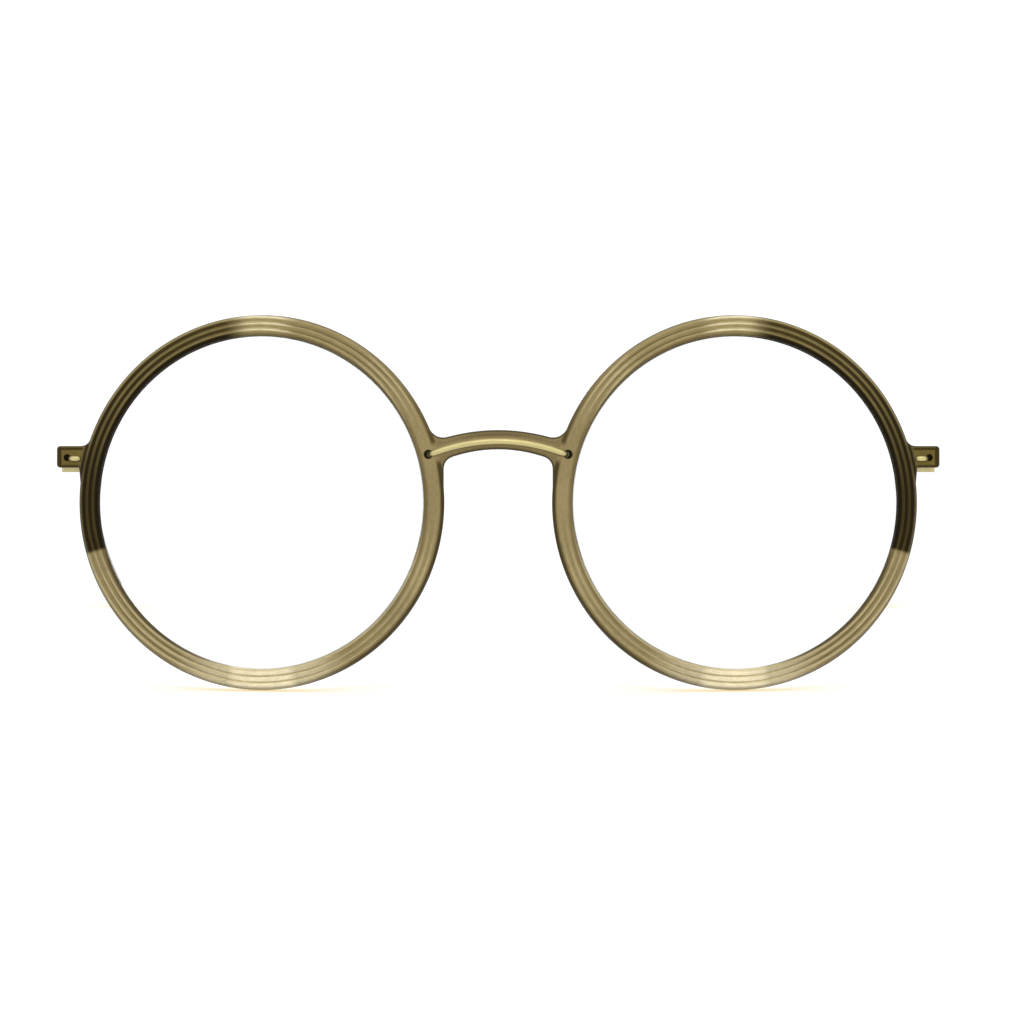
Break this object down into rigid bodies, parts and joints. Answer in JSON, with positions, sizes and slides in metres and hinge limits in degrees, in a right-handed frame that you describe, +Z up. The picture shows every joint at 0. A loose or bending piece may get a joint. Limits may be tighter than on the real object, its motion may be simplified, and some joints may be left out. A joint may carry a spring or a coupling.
{
  "type": "eyeglass frame",
  "caption": "Round full-rim eyeglass frame with a reeded front, an inlaid bridge wire that carries slide-on nose pads, clear lenses and folding temples.",
  "frame": {"origin": "centre of the bounding box at its bottom, on the table that the open frame stands on", "axes": "+Z up, the front faces -Y and the temples run back along +Y, +X is the wearer's left"},
  "size_m": [0.1364, 0.1448, 0.0579],
  "materials": {
    "acetate_front": "satin olive-khaki acetate, darker at the upper outer rims",
    "acetate_tip": "polished olive-khaki acetate",
    "gold_wire": "polished pale gold",
    "gold_hinge": "satin pale gold",
    "gold_bar": "brushed pale gold",
    "screw": "bright",
    "nylon": "natural nylon",
    "pad": "soft translucent silicone",
    "clear_lens": "clear demo lens"
  },
  "bodies": {
    "front": {"bridge_wire": "gold_wire", "front_frame": "acetate_front", "front_hinge_leaf_left": "gold_hinge", "front_hinge_leaf_right": "gold_hinge", "hinge_screw_left": "screw", "hinge_screw_right": "screw", "hinge_staple_left": "gold_wire", "hinge_staple_right": "gold_wire", "hinge_washer_lower_left": "nylon", "hinge_washer_lower_right": "nylon", "hinge_washer_upper_left": "nylon", "hinge_washer_upper_right": "nylon", "lens_left": "clear_lens", "lens_right": "clear_lens", "nose_pad_left": "pad", "nose_pad_right": "pad"},
    "temple_right": {"temple_bar_right": "gold_bar", "temple_hinge_leaf_right": "gold_hinge", "temple_tip_right": "acetate_tip"},
    "temple_left": {"temple_bar_left": "gold_bar", "temple_hinge_leaf_left": "gold_hinge", "temple_tip_left": "acetate_tip"}
  },
  "joints": [
    {"name": "temple_right_fold", "type": "hinge", "parent": "front", "child": "temple_right", "pos_m": [-0.06581, -0.0577, 0.03519], "axis": [0, -0.0889, -0.996], "range_deg": [0, 88]},
    {"name": "temple_left_fold", "type": "hinge", "parent": "front", "child": "temple_left", "pos_m": [0.06581, -0.0577, 0.03519], "axis": [0, 0.0889, 0.996], "range_deg": [0, 77]}
  ]
}
